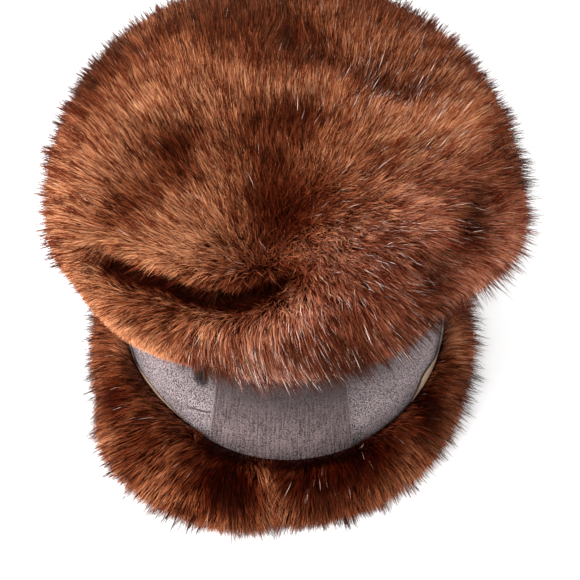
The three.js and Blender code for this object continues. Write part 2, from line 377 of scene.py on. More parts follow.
# Painted shade on the felt: a dark line in the sharpest tuck and a dark patch at the foot of the
# last.
band_colour = band_felt.mix(painted_wrinkle_shade(band_felt) * 0.95, band_felt.colour(0), BAND_DARK)
hollow_shade_colour = tuple(0.08 * part for part in BAND_DARK)
band_colour = band_felt.mix(painted_hollow_shade(band_felt) * 0.97, band_colour, hollow_shade_colour)
band_material = band_felt.napped(band_colour)


def spread_map(piece, across, upwards):
    """Lays the piece's map out flat, in metres, from its places along the band and up."""
    corners = np.empty(len(piece.data.loops), np.int32)
    piece.data.loops.foreach_get("vertex_index", corners)
    flat = np.stack([across, upwards], -1)[corners] / 1000
    piece.data.uv_layers.active.data.foreach_set("uv", flat.astype(np.float32).ravel())


def band_stands_out(angle, height):
    """How far the tucks lift the band's face."""
    place = np.stack([angle * MM_PER_DEGREE, height], -1)
    beside_tab = smoothstep(angle_between(angle, TAB_MIDDLE), TAB_HALF_ANGLE, TAB_HALF_ANGLE + 4)
    out = 0
    for angle_1, height_1, angle_2, height_2, raised, breadth in BAND_TUCKS:
        ridge = np.array([(angle_1, height_1), (angle_2, height_2)]) * (MM_PER_DEGREE, 1)
        out += beside_tab * raised * bell(distance_to_path(place, ridge), breadth)
    return out


side_band = start_sheet("side_band", columns=200, rows=34)
strip = points_of(side_band)
# The strip's mesh is finest where it is puckered.
strip_angle = np.interp(strip[:, 0], [-1, -0.6, 0.3, 1], [-180, -62, -22, 180])
strip_height = np.interp(strip[:, 1], [-1, -0.6, 0.7, 1], [BAND_HEM, 43, 64, BAND_TOP])
hem_turn = 0.4 * np.clip(1 - (strip_height - BAND_HEM) / 1.6, 0, 1) ** 2
strip_out = band_stands_out(strip_angle, strip_height) - hem_turn
set_points(side_band, beside_band(strip_angle, strip_out, strip_height))
spread_map(side_band, strip_angle * MM_PER_DEGREE, strip_height)
merge_seam(side_band, 0.0001)
add_modifier(side_band, "SOLIDIFY", thickness=BAND_WALL / 1000, offset=-1)
shade_smooth(side_band)
fit_piece(side_band, band_material, "hat_band")

# The tab is a flat piece of the same felt with its grain upright, laid over the front of
# the band. It is tucked under the crown above, its sides are raw cut edges that catch the
# light, with a pale painted highlight along them, and its foot is turned in at the brim.
GAP = 0.35
TAB_WALL = 2.2
TAB_SHEET = 1.1
TAB_CROWN = 0.7
TAB_WIDTH = 2 * TAB_HALF_ANGLE * MM_PER_DEGREE
TAB_DARK = (0.028, 0.020, 0.0205)
TAB_PALE = (0.168, 0.121, 0.122)
CUT_EDGE_HIGHLIGHT = (0.36, 0.31, 0.32)
TAB_GRAIN = 1.7
TAB_RIB = 2.2
TAB_RIB_DOT = 1.7

tab_felt = WoolFelt("grained_wool_felt", TAB_DARK, TAB_PALE, fibres_per_metre=1500, contrast=3.3)
upright = tab_felt.add("Mapping", {"Vector": tab_felt.sheet, "Scale": (1150, 90, 1)})
lines = tab_felt.noise(1.0, place=upright)
ribs = tab_felt.across.wave(TAB_RIB)
dots = tab_felt.upwards.wave(TAB_RIB_DOT)
tab_felt.shade = tab_felt.shade + (lines - 0.5) * TAB_GRAIN + ribs * (dots * 0.12 + 0.11)
tab_felt.nap = tab_felt.nap + lines * TAB_GRAIN
# Painted highlight: a pale line along each side, where the cut edges catch the light.
tab_share = tab_felt.across * (1 / TAB_WIDTH)
cut_highlight = tab_share.fade((0, 1), (0.006, 1), (0.012, 0), (0.988, 0), (0.994, 1))
tab_colour = tab_felt.mix(cut_highlight * 0.3, tab_felt.colour(TAB_FOOT), CUT_EDGE_HIGHLIGHT)
tab_material = tab_felt.napped(tab_colour)

front_tab = start_sheet("front_tab", columns=56, rows=40)
cloth = points_of(front_tab)
cloth_angle = TAB_MIDDLE + cloth[:, 0] * TAB_HALF_ANGLE
cloth_height = TAB_FOOT + (cloth[:, 1] + 1) / 2 * (TAB_TOP - TAB_FOOT)
thinner = TAB_CROWN * cloth[:, 0] ** 4
waver = 0.12 * np.sin(cloth_height * 0.21 + cloth_angle * 0.3) * np.cos(cloth_angle * 0.17)
set_points(front_tab, beside_band(cloth_angle, GAP + TAB_WALL - thinner + waver, cloth_height))
spread_map(front_tab, (cloth[:, 0] + 1) / 2 * TAB_WIDTH, cloth_height - TAB_FOOT)
add_modifier(front_tab, "SOLIDIFY", thickness=TAB_SHEET / 1000, offset=-1)
cut_corner = dict(limit_method="ANGLE", angle_limit=math.radians(50))
add_modifier(front_tab, "BEVEL", width=0.0004, segments=2, **cut_corner)
shade_smooth(front_tab)
fit_piece(front_tab, tab_material, "band_tab")

# The bare edge of the brim's pelt: a strip of tan suede skin, cut by hand, that stands up
# along the foot of the band from one side of the tab round the back to the other.
EDGE_WALL = 1.3
EDGE_SHEET = 0.5
EDGE_FOOT = 29
EDGE_ABOVE = -5.6
EDGE_END = 28
EDGE_RADIUS = 80
CRESCENT_ANGLE = 59
CRESCENT_SPREAD = 9
# angle, spread, and how much higher the edge stands there
EDGE_RISES = [(CRESCENT_ANGLE, CRESCENT_SPREAD, 9.2), (-52, 28, 4.4), (74, 9, 3.2)]
SUEDE_DARK = (0.17, 0.092, 0.05)
SUEDE_PALE = (0.53, 0.35, 0.225)
SUEDE_NAP = 1300
SUEDE_STAINS = 130
BRIM_WIDTH = 22
BRIM_TOP = 37
# angle, spread, how much wider and how much higher
BRIM_CHANGES = [
    (-42, 22, 12, 4), (-12, 18, 5, 0), (30, 28, 2, 0), (180, 60, 2, 0), (-3, 4, -3, 0),
    (-70, 6, -2, 0), (72, 42, -3.5, 0), (5, 22, -3, 0), (-58, 16, 2, 0),
]


def brim_size(angle):
    width = BRIM_WIDTH + 0 * angle
    top = BRIM_TOP + 0 * angle
    for middle, spread, wider, higher in BRIM_CHANGES:
        share = bell_round(angle, middle, spread)
        width += wider * share
        top += higher * share
    return width, top


def smooth_noise(points, size, seed):
    """A soft random field, about -1 to 1, whose lumps are about this size across."""
    waves = 10
    dice = np.random.default_rng(seed)
    total = np.zeros(len(points))
    for _ in range(waves):
        wave = dice.normal(size=3)
        wave *= dice.uniform(0.6, 1.5) * math.pi / size / np.linalg.norm(wave)
        total += np.sin(points @ wave + dice.uniform(0, 2 * math.pi))
    return total / math.sqrt(waves / 2) / 1.6


suede = Finish("tan_suede", Roughness=0.8, Sheen_Weight=0.25, Sheen_Roughness=0.5, IOR=1.42)
suede_nap = suede.noise(SUEDE_NAP, detail=3)
suede_stain = suede.noise(SUEDE_STAINS, detail=3)
suede_shade = suede_nap * 0.6 + suede_stain * 0.9 - 0.25
suede_material = suede.dress(
    Base_Color=suede.mix(suede_shade, SUEDE_DARK, SUEDE_PALE),
    Normal=suede.bump(suede_nap + suede_stain * 0.5),
)

skin_edge = start_sheet("skin_edge", columns=240, rows=8)
strip = points_of(skin_edge)
strip_angle = EDGE_END + (strip[:, 0] + 1) / 2 * (360 - 2 * EDGE_END)
turn = np.radians(strip_angle)
round_edge = EDGE_RADIUS * np.stack([np.cos(turn), np.sin(turn), 0 * turn], -1)
crescent = bell_round(strip_angle, CRESCENT_ANGLE, CRESCENT_SPREAD)
sunk_end = 1 - smoothstep(angle_between(strip_angle, 0), EDGE_END, EDGE_END + 9)
edge_top = brim_size(strip_angle)[1] + EDGE_ABOVE - 3 * sunk_end
for angle, spread, higher in EDGE_RISES:
    edge_top += higher * bell_round(strip_angle, angle, spread)
# It is cut by hand, so its line wavers.
edge_top += 0.35 * smooth_noise(round_edge, 5, 3)
edge_top += 0.25 * smooth_noise(round_edge, 1.8, 4)
rise = (strip[:, 1] + 1) / 2
strip_height = EDGE_FOOT + rise * (edge_top - EDGE_FOOT)
curl = 0.2 * smooth_noise(round_edge, 9, 5) * rise**3
lean = 0.4 * rise**2 * (1 - crescent)
set_points(skin_edge, beside_band(strip_angle, GAP + EDGE_WALL + curl - lean, strip_height))
add_modifier(skin_edge, "SOLIDIFY", thickness=EDGE_SHEET / 1000, offset=-1)
shade_smooth(skin_edge, 40)
fit_piece(skin_edge, suede_material, "pelt_edge")

# The brim is a narrow strip of mink pelt folded down all round the foot of the band, and
# the hat rests on it. The pelt's own hide and dense underwool are one rolled body.
# The underwool is near black: partly its own dark colour and partly painted shade deep in the fur
# and in the crease.
HIDE_DARK = (0.002, 0.0004, 0.0002)
HIDE_PALE = (0.015, 0.0028, 0.0012)
HIDE_WOOL = 900
HIDE_CLOUDS = 110
# how high the hide stays above what the hat rests on
HIDE_CLEARANCE = 0.8
# The fur face from the band outwards, round the outside and under: out as a share of the
# width, height as a share of the top, and how deep the hair is rooted there.
BRIM_FACE = np.array([
    (0.0, 1.0, 1.2), (0.2, 0.97, 4.2), (0.5, 0.83, 7.0), (0.8, 0.55, 7.0),
    (1.0, 0.2, 6.5), (0.97, 0.05, 4.0), (0.8, 0.0, 2.0), (0.45, 0.0, 2.0),
])


def along_curve(stops, share):
    """A smooth curve through the stops, at shares from 0 to 1."""
    before_first = 2 * stops[:1] - stops[1:2]
    after_last = 2 * stops[-1:] - stops[-2:-1]
    padded_stops = np.concatenate([before_first, stops, after_last])
    place = np.clip(share, 0, 1) * (len(stops) - 1)
    leg = np.minimum(place.astype(int), len(stops) - 2)
    t = (place - leg)[:, None]
    a, b, c, d = (padded_stops[leg + k] for k in range(4))
    bend = (2 * a - 5 * b + 4 * c - d) * t**2 + (3 * b - a - 3 * c + d) * t**3
    return 0.5 * (2 * b + (c - a) * t + bend)


def brim_inner_face(angle):
    towards_edge = smoothstep(angle_between(angle, 0), TAB_HALF_ANGLE + 1, EDGE_END + 6)
    return 2 * GAP + TAB_WALL + (EDGE_WALL - TAB_WALL) * towards_edge


def brim_place(angle, share):
    """Places on the hide under the brim's fur, and the directions along and out of the face."""
    width, top = brim_size(angle)
    size = np.stack([width, top], -1)
    here = along_curve(BRIM_FACE, share)
    ahead = along_curve(BRIM_FACE, share + 0.01)
    before = along_curve(BRIM_FACE, share - 0.01)
    along = unit((ahead[:, :2] - before[:, :2]) * size)
    outwards = np.stack([-along[:, 1], along[:, 0]], -1)
    place = here[:, :2] * size - outwards * here[:, 2:]
    place[:, 0] += brim_inner_face(angle)
    return place, along, outwards


hide = Finish("brown_underwool", Roughness=0.95, Specular_IOR_Level=0.0)
hide_wool = hide.noise(HIDE_WOOL, detail=4)
hide_cloud = hide.noise(HIDE_CLOUDS, detail=3)
hide_shade = hide_wool * 0.9 + hide_cloud * 0.5 - 0.25
hide_material = hide.dress(
    Base_Color=hide.mix(hide_shade, HIDE_DARK, HIDE_PALE),
    Normal=hide.bump(hide_wool, strength=0.8, distance=0.001),
)

brim_hide = start_piece(
    "brim_hide",
    bpy.ops.mesh.primitive_torus_add,
    major_segments=180,
    minor_segments=36,
    major_radius=1,
    minor_radius=0.3,
)
ring = points_of(brim_hide)
ring_angle = round_head(ring[:, 0], ring[:, 1])
ring_turn = np.degrees(np.arctan2(ring[:, 2], np.hypot(ring[:, 0], ring[:, 1]) - 1)) % 360
# Most of the ring's turn goes from the inner top over the face and under, and the rest
# returns up the inside: out as a share of the width, and height.
FACE_SHARE = 0.7
RETURN_PATH = np.array([(0.45, 2), (0.3, 4), (0.14, 11), (0.04, 18), (0, 24), (0, 31)])
ring_share = ((180 - ring_turn) % 360) / 360
face_place, _, _ = brim_place(ring_angle, ring_share / FACE_SHARE)
width_here, top_here = brim_size(ring_angle)
return_share = np.clip((ring_share - FACE_SHARE) / (1 - FACE_SHARE), 0, 1)
return_stops = np.linspace(0, 1, len(RETURN_PATH))
return_out = np.interp(return_share, return_stops, RETURN_PATH[:, 0]) * width_here
return_height = np.interp(return_share, return_stops, RETURN_PATH[:, 1]) * (top_here / BRIM_TOP)
on_face = ring_share <= FACE_SHARE
ring_out = np.where(on_face, face_place[:, 0], brim_inner_face(ring_angle) + return_out)
ring_height = np.where(on_face, face_place[:, 1], return_height)
ring_height = np.maximum(ring_height, HIDE_CLEARANCE)
set_points(brim_hide, beside_band(ring_angle, ring_out, ring_height))
merge_seam(brim_hide, 0.00005)
shade_smooth(brim_hide, 70)
fit_piece(brim_hide, hide_material, "brim")

# The brim's fur lies outwards and down in fine tapered hairs that gather in small points.
# It is darker, more ginger or paler in patches, and at the middle of the front the
# ends of the pelt meet in small fans of hair.
FLOOR_CLEARANCE = 0.35
# one step of the fur's map, which has the tone across it and the hair's length up it
HAIR_MAP_STEP = 1 / 256
# how broad the clumps are that hairs gather in and how much their tones vary, and the same
# for the finer strands
CLUMP = 2.6
CLUMP_SEED = 50
CLUMP_TONES = 0.03
STRAND = 1.1
STRAND_SEED = 60
STRAND_TONES = 0.045
# the share of dark strands, and the shares of guard hairs in them and in the others
GUARD_STRANDS = 0.27
GUARD_SHARES = (0.75, 0.07)
# the share of the clumps whose guard hairs stand up, how much longer, wider and darker these
# are, and how much steeper at the root and the tip
RAISED_CLUMPS = 0.42
RAISED_LONGER = 0.38
RAISED_WIDER = 0.3
RAISED_DARKER = 0.05
RAISED_ROOT = math.radians(4)
RAISED_TIP = math.radians(13)
# how far hairs are turned about their length
HAIR_ROLL = math.radians(38)
# the darkest and palest brown, and by how much the wool is paler than the pelt
BROWN_TONES = (0.02, 0.9)
WOOL_PALER = 0.10


def gather(points, size, seed):
    """The way from each point to the middle of the small clump that it belongs to."""
    waver = np.stack([smooth_noise(points, size * 2.2, seed + k) for k in range(3)], -1)
    cells = np.floor(points / size + 0.5 * waver).astype(np.int64)
    keys = (cells[:, 0] * 100003 + cells[:, 1]) * 100003 + cells[:, 2]
    _, clump, count = np.unique(keys, return_inverse=True, return_counts=True)
    middle = np.stack([np.bincount(clump, points[:, k]) / count for k in range(3)], -1)
    return middle[clump] - points, clump


def pick_guard(points, dice, fewer):
    """Which hairs are guard hairs: most of a dark strand, and a few of all the others."""
    strand = gather(points, STRAND, STRAND_SEED)[1]
    dark = dice.random(strand.max() + 1)[strand] < GUARD_STRANDS
    return dice.random(len(points)) < np.where(dark, *GUARD_SHARES) * (1 - fewer)


def band_reach(points, margin):
    """How far out points are, as a share of the band's oval grown by a margin."""
    leaned_in = np.clip(points[:, 2] - BAND_FOOT, 0, BAND_TOP - BAND_FOOT) * BAND_LEAN
    across = BAND_HALF_WIDTH - leaned_in + margin
    along = BAND_HALF_LENGTH - leaned_in + margin
    return np.hypot(points[:, 0] / across, points[:, 1] / along)


def clear_of_band(points):
    """Pushes points out of the band, the tab, the skin edge and the floor."""
    angle = round_head(points[:, 0] / BAND_HALF_WIDTH, points[:, 1] / BAND_HALF_LENGTH)
    off_tab = smoothstep(angle_between(angle, TAB_MIDDLE), TAB_HALF_ANGLE + 1, TAB_HALF_ANGLE + 4)
    above_edge = smoothstep(points[:, 2] - brim_size(angle)[1], 1, 2.5) * off_tab
    inside = band_reach(points, 2.2 + 1.2 * (1 - off_tab) - 1.6 * above_edge)
    beside = (points[:, 2] < BAND_TOP) & (inside < 1) & (inside > 0.8)
    points[beside, :2] /= inside[beside, None]
    points[:, 2] = np.maximum(points[:, 2], FLOOR_CLEARANCE)
    return points


def grow_fur(
    name, seed, roots, outwards, flow, lengths, widths, tones, ruddy, root_rise, tip_rise, guard
):
    """One piece of fur, from each hair's root, directions, size and tone.

    Guard hairs have dark tips. The upper half of the fur's map is for ruddy hairs and the
    lower half for ginger ones.
    """
    dice = np.random.default_rng(seed)
    count = len(roots)
    flow = unit(flow)
    drawn, clump = gather(roots, CLUMP, CLUMP_SEED)
    strand_drawn, strand = gather(roots, STRAND, STRAND_SEED)
    raised = guard & (dice.random(clump.max() + 1)[clump] < RAISED_CLUMPS)
    varied = dice.normal(0, CLUMP_TONES, clump.max() + 1)[clump]
    varied += dice.normal(0, STRAND_TONES, strand.max() + 1)[strand]
    browns = np.clip(tones + varied - RAISED_DARKER * raised, *BROWN_TONES)
    tones = np.where(tones > BROWN_TONES[1], tones, browns)
    lengths = lengths * (1 + RAISED_LONGER * raised)
    widths = widths * (1 + RAISED_WIDER * raised)
    root_rise = root_rise + RAISED_ROOT * raised
    tip_rise = tip_rise + RAISED_TIP * raised

    def leaning(rise):
        return outwards * np.sin(rise)[:, None] + flow * np.cos(rise)[:, None]

    half = lengths[:, None] / 2
    middles = roots + half * leaning(root_rise)
    tips = middles + half * leaning(tip_rise)
    gathered = dice.normal(0.08 + 0.20 * guard + 0.2 * raised, 0.10, count)
    gathered = np.clip(gathered, 0, 0.85)[:, None]
    drawn = drawn * gathered + strand_drawn * (1 - gathered) * (0.35 + 0.5 * guard)[:, None]
    middles = clear_of_band(middles + drawn * 0.55)
    tips = clear_of_band(tips + drawn)

    # Each hair is a blade of five corners: a strip of four from root to middle, and the tip.
    axis = unit(tips - roots)
    side = unit(np.cross(axis, outwards))
    roll = dice.normal(0, HAIR_ROLL, count)[:, None]
    side = side * np.cos(roll) + np.cross(axis, side) * np.sin(roll)
    half_width = side * widths[:, None] / 2
    middle_width = half_width * (0.85 + 0.3 * guard)[:, None]
    foot = [roots - half_width, roots + half_width]
    bend = [middles - middle_width, middles + middle_width]
    corners = np.stack([*foot, *bend, tips], 1)
    placed = corners.reshape(-1, 3) / 1000 + np.array([HEAD_X, HEAD_Y, 0])

    hair_loops = np.array([0, 1, 3, 2, 2, 3, 4])
    hair = np.arange(count)[:, None]
    loops = (hair * 5 + hair_loops).ravel()
    starts = (hair * 7 + np.array([0, 4])).ravel()
    mesh = bpy.data.meshes.new(name)
    mesh.vertices.add(len(placed))
    mesh.vertices.foreach_set("co", placed.astype(np.float32).ravel())
    mesh.loops.add(len(loops))
    mesh.loops.foreach_set("vertex_index", loops.astype(np.int32))
    mesh.polygons.add(2 * count)
    mesh.polygons.foreach_set("loop_start", starts.astype(np.int32))
    mesh.update(calc_edges=True)
    mesh.polygons.foreach_set("use_smooth", np.ones(2 * count, bool))

    across = np.array([0, 1, 1, 0, 0, 1, 0.5]) * HAIR_MAP_STEP
    tone_map = np.empty((count, 7, 2), np.float32)
    tone_map[:, :, 0] = np.clip(tones, 0.01, 0.985)[:, None] + across
    tone_map[:, :6, 1] = [0.02, 0.02, 0.5, 0.5, 0.5, 0.5]
    tone_map[:, 6, 1] = np.where(guard, 0.97, 0.72)
    tone_map[:, :, 1] = (tone_map[:, :, 1] + ruddy[:, None]) / 2
    mesh.uv_layers.new(name="OFBake").data.foreach_set("uv", tone_map.ravel())
    mesh.validate()
    piece = bpy.data.objects.new(name, mesh)
    bpy.context.collection.objects.link(piece)
    return piece


# the colour of the hair from dark brown to ginger, and of silver hairs in the last two stops,
# which are partly real silver hairs and partly painted glints
HAIR_TONES = [
    (0.00, (0.012, 0.0009, 0.0005)), (0.22, (0.084, 0.0070, 0.0020)),
    (0.45, (0.207, 0.0405, 0.0172)), (0.68, (0.470, 0.155, 0.082)),
    (0.90, (0.830, 0.405, 0.262)), (0.93, (0.780, 0.540, 0.430)), (1.00, (1.000, 0.880, 0.800)),
]
# how a hair's colour changes from root to tip, for ginger hairs and then for ruddy ones
# The darker roots are partly the hair's own colour and partly painted shade deep in the fur.
LENGTH_TONES = [
    (0.0, (0.30, 0.22, 0.14)), (0.225, (0.80, 0.74, 0.55)),
    (0.36, (1.0, 1.0, 0.79)), (0.497, (0.20, 0.15, 0.11)),
    (0.503, (0.30, 0.215, 0.18)), (0.725, (0.80, 0.72, 0.70)),
    (0.86, (1.0, 0.97, 1.0)), (1.0, (0.20, 0.15, 0.14)),
]
mink = Finish(
    "mink_hair", Roughness=0.36, Specular_IOR_Level=0.24, Specular_Tint=(1.0, 0.43, 0.18, 1)
)
hair_map = mink.add("UVMap", uv_map="OFBake")
hair_tone = hair_map.part(0).ramp(HAIR_TONES)
length_tone = hair_map.part(1).ramp(LENGTH_TONES)
hair_colour = mink.mix(1.0, hair_tone, length_tone, blend_type="MULTIPLY")
mink_material = mink.dress(Base_Color=hair_colour)

BRIM_HAIRS = 58000
BRIM_TONE = 0.45
BRIM_GUARD_DARKER = 0.36
# the lengths and the rises at root and tip, each a middle and a spread, and the widths of
# silver, guard and wool hairs
BRIM_GUARD_LENGTH = (11.5, 1.4)
BRIM_WOOL_LENGTH = (8.2, 1.2)
BRIM_ROOT_RISE = (58, 9)
BRIM_TIP_RISE = (40, 10)
BRIM_HAIR_WIDTHS = (0.17, 0.19, 0.28)
FAN_ANGLE = -3
# angle round the band, height, and how much lighter or darker the fur is there
BRIM_MARKINGS = [
    (-52, 14, 0.09), (-34, 20, 0.09), (-13, 17, 0.12), (-7, 36, 0.24), (-2, 18, 0.27),
    (78, 35, 0.14), (63, 33, -0.09), (40, 19, 0.05), (-58, 36, -0.05), (-74, 32, 0.14),
    (73, 31, 0.08), (38, 19, 0.10), (-16, 31, -0.75), (-13, 25, -0.36), (3, 31, -0.30),
    (-60, 30, -0.37), (-40, 37, -0.16), (51, 33, -0.80), (36, 32, -0.25), (28, 23, -0.20),
    (22, 34, -0.35), (11, 29, -0.42),
]
brim_dice = np.random.default_rng(11)
brim_angle = brim_dice.uniform(-180, 180, BRIM_HAIRS)
brim_share = brim_dice.uniform(0.0, 0.93, BRIM_HAIRS)
brim_root, brim_along, brim_outwards = brim_place(brim_angle, brim_share)


def around_band(angle, pair):
    """A direction given as out and up, turned to its angle round the band."""
    side = np.sin(np.radians(angle)) / BAND_HALF_WIDTH
    ahead = np.cos(np.radians(angle)) / BAND_HALF_LENGTH
    outwards = unit(np.stack([side, -ahead], -1))
    return np.stack([outwards[:, 0] * pair[:, 0], outwards[:, 1] * pair[:, 0], pair[:, 1]], -1)


brim_roots = beside_band(brim_angle, brim_root[:, 0], np.maximum(brim_root[:, 1], 1.0))
brim_flow = around_band(brim_angle, brim_along)
brim_up = around_band(brim_angle, brim_outwards)
from_fan = brim_angle - FAN_ANGLE
fan = np.sign(from_fan) * bell(np.abs(from_fan) - 4, 7) * 0.7
sway = 0.30 * smooth_noise(brim_roots, 30, 21) + 0.22 * smooth_noise(brim_roots, 9, 22)
sway = sway + brim_dice.normal(0, 0.16, BRIM_HAIRS) - fan
brim_flow += np.cross(brim_up, brim_flow) * sway[:, None]
brim_tone = 0.10 * smooth_noise(brim_roots, 24, 23) + 0.06 * smooth_noise(brim_roots, 8, 24)
brim_tone += BRIM_TONE
for angle_at, height_at, change in BRIM_MARKINGS:
    along = angle_between(brim_angle, angle_at) * MM_PER_DEGREE
    apart = np.hypot(along, brim_roots[:, 2] + 4 - height_at)
    brim_tone += change * bell(apart, 10)
brim_tone += brim_dice.normal(0, 0.045, BRIM_HAIRS)
# Along the inner edge the hair is paler and stands up a little, but for a crescent at one
# side, and behind the foot of the tab it is painted darker as deep shade.
inner_edge = 1 - smoothstep(brim_share, 0.03, 0.15)
tab_foot = inner_edge * bell(np.abs(brim_angle - TAB_MIDDLE) - TAB_HALF_ANGLE - 2.5, 3)
off_front = np.abs(brim_angle)
paler = (1 - smoothstep(brim_share, 0.05, 0.25)) * smoothstep(off_front, 24, 36)
# Painted shade: the inner edge at the front is darkened behind the tab's foot.
brim_tone = brim_tone + 0.08 * paler - 0.35 * inner_edge * (1 - smoothstep(off_front, 22, 30))
guard = pick_guard(brim_roots, brim_dice, 0)
brim_tone += np.where(guard, -BRIM_GUARD_DARKER, WOOL_PALER)
# Silver hairs gather in two places; they are partly real silver hairs and partly painted glints.
silver_spot = np.hypot((brim_angle - 9) * MM_PER_DEGREE, brim_roots[:, 2] - 24)
silver_share = 0.0015 + 0.016 * bell(silver_spot, 9)
silver_share += 0.015 * bell_round(brim_angle, 80, 14)
silver = brim_dice.random(BRIM_HAIRS) < silver_share
silver_tone = brim_dice.uniform(0.91, 0.985, BRIM_HAIRS)
brim_tone = np.where(silver, silver_tone, np.clip(brim_tone, *BROWN_TONES))
guard_length = brim_dice.normal(*BRIM_GUARD_LENGTH, BRIM_HAIRS)
wool_length = brim_dice.normal(*BRIM_WOOL_LENGTH, BRIM_HAIRS)
bare = inner_edge * bell_round(brim_angle, CRESCENT_ANGLE, CRESCENT_SPREAD)
shorter = (1 - 0.45 * smoothstep(brim_share, 0.62, 0.8)) * (1 - 0.6 * bare)
root_rise = brim_dice.normal(*BRIM_ROOT_RISE, BRIM_HAIRS) + 6 * inner_edge + 24 * tab_foot
tip_rise = brim_dice.normal(*BRIM_TIP_RISE, BRIM_HAIRS) + 12 * inner_edge + 50 * tab_foot
brim_fur = grow_fur(
    "brim_fur",
    31,
    roots=brim_roots,
    outwards=brim_up,
    flow=brim_flow,
    lengths=np.where(guard, guard_length, wool_length) * shorter,
    widths=np.select([silver, guard], BRIM_HAIR_WIDTHS[:2], BRIM_HAIR_WIDTHS[2]),
    tones=brim_tone,
    ruddy=silver,
    root_rise=np.radians(root_rise),
    tip_rise=np.radians(tip_rise),
    guard=guard,
)
fit_piece(brim_fur, mink_material, "brim")

# The crown is a big soft bag of mink pelt, puffed out over the band like a cushion and
# creased where it folds. Here is its hide, hair side outwards: a bowl with its mouth at
# the band, bare tan skin inside.
CROWN_CENTRE = 128
CROWN_HALF_WIDTH = 120
CROWN_FRONT = 105
CROWN_BACK = 139
CROWN_UP = 61
CROWN_DOWN = 34
CROWN_SQUARENESS = 2.15
CROWN_WALL = 13
FUR_DEPTH = 7.5
FOLD_RADIUS = 110
# angle, spread and how much lower the crown hangs there
DROOPS = [(180, 65, 16), (-2, 46, 16), (56, 26, -13), (-70, 24, -3)]
# depth, half breadth, and the places that the fold runs through as angle and rise
FOLDS = [
    (13, 7, [(-57, 12), (-35, 17), (-16, 18), (0, 23)]),
    (8, 12, [(76, 17), (62, 16), (45, 14)]),
    (6, 14, [(180, 42), (150, 47), (110, 37)]),
]
# angle, rise, spread and how far the crown swells there
SWELLINGS = [
    (-65, 44, 20, -3), (2, 46, 26, -2), (-25, 34, 18, 4), (-40, 2, 18, 3),
    (50, -8, 18, -13), (74, 5, 14, 3), (-115, 45, 30, 3),
]


def direction_to(angle, rise):
    turn, rise = math.radians(angle), math.radians(rise)
    level = math.cos(rise)
    return np.array([math.sin(turn) * level, -math.cos(turn) * level, math.sin(rise)])


def degrees_apart(directions, angle, rise):
    return np.degrees(np.arccos(np.clip(directions @ direction_to(angle, rise), -1, 1)))


def add_spots(values, directions, spots):
    """Adds soft round spots, each given by its angle, rise, spread and amount."""
    for angle, rise, spread, amount in spots:
        values = values + amount * bell(degrees_apart(directions, angle, rise), spread)
    return values


def crown_radius(directions):
    """How far the crown's face is from its centre, along these directions."""
    x, y, z = directions[:, 0], directions[:, 1], directions[:, 2]
    depth = np.where(y < 0, CROWN_FRONT, CROWN_BACK)
    around = round_head(x, y)
    down = CROWN_DOWN
    for angle, spread, lower in DROOPS:
        down += lower * bell_round(around, angle, spread)
    halves = (x / CROWN_HALF_WIDTH, y / depth, z / np.where(z > 0, CROWN_UP, down))
    power = sum(np.abs(half) ** CROWN_SQUARENESS for half in halves)
    radius = power ** (-1 / CROWN_SQUARENESS)
    for depth, breadth, path in FOLDS:
        corners = [direction_to(*stop) * FOLD_RADIUS for stop in path]
        radius -= depth * bell(distance_to_path(directions * FOLD_RADIUS, corners), breadth)
    return add_spots(radius, directions, SWELLINGS)


def crown_point(directions):
    """A place on the crown's hide, which is deeper than its face by the fur."""
    points = directions * (crown_radius(directions) - FUR_DEPTH)[:, None]
    return points + np.array([0, 0, CROWN_CENTRE])


# The hair lies away from a whorl low on the front. On a flat chart of the directions, seen
# from below, it runs in straight lines.
def to_chart(directions):
    return directions[..., :2] / (1 + directions[..., 2:])


def from_chart(chart):
    square = (chart**2).sum(-1, keepdims=True)
    return np.concatenate([2 * chart, 1 - square], -1) / (1 + square)


WHORL_CHART = to_chart(direction_to(-1, 25))


def away_from_whorl(turn, around):
    length = np.linalg.norm(WHORL_CHART)
    reach = length + np.tan(np.radians(turn) / 2 - np.arctan(length))
    around = np.radians(around)
    return from_chart(WHORL_CHART + np.stack([reach * np.sin(around), reach * np.cos(around)], -1))


def inside_band(points, margin):
    """True where a point is within the band's oval, grown by a margin."""
    margin += TAB_WALL * smoothstep(-points[:, 1], 70, 80)
    return (points[:, 2] < CROWN_CENTRE) & (band_reach(points, margin) < 1)


HIDE_RINGS = 76
crown_hide = start_piece(
    "crown_hide",
    bpy.ops.mesh.primitive_uv_sphere_add,
    segments=112,
    ring_count=HIDE_RINGS,
    radius=1,
)
# The ball's lowest point is taken out, and the hole becomes the bowl's mouth.
bpy.ops.object.mode_set(mode="EDIT")
bpy.ops.mesh.select_all(action="DESELECT")
bpy.ops.object.mode_set(mode="OBJECT")
lowest = int(np.argmin(points_of(crown_hide)[:, 2]))
crown_hide.data.vertices[lowest].select = True
bpy.ops.object.mode_set(mode="EDIT")
bpy.ops.mesh.delete(type="VERT")
bpy.ops.object.mode_set(mode="OBJECT")
ball = points_of(crown_hide)
ball_around = round_head(ball[:, 0], -ball[:, 1]) % 360
ball_turn = np.degrees(np.arccos(np.clip(ball[:, 2], -1, 1)))
ball_share = ball_turn / (180 * (1 - 1 / HIDE_RINGS))
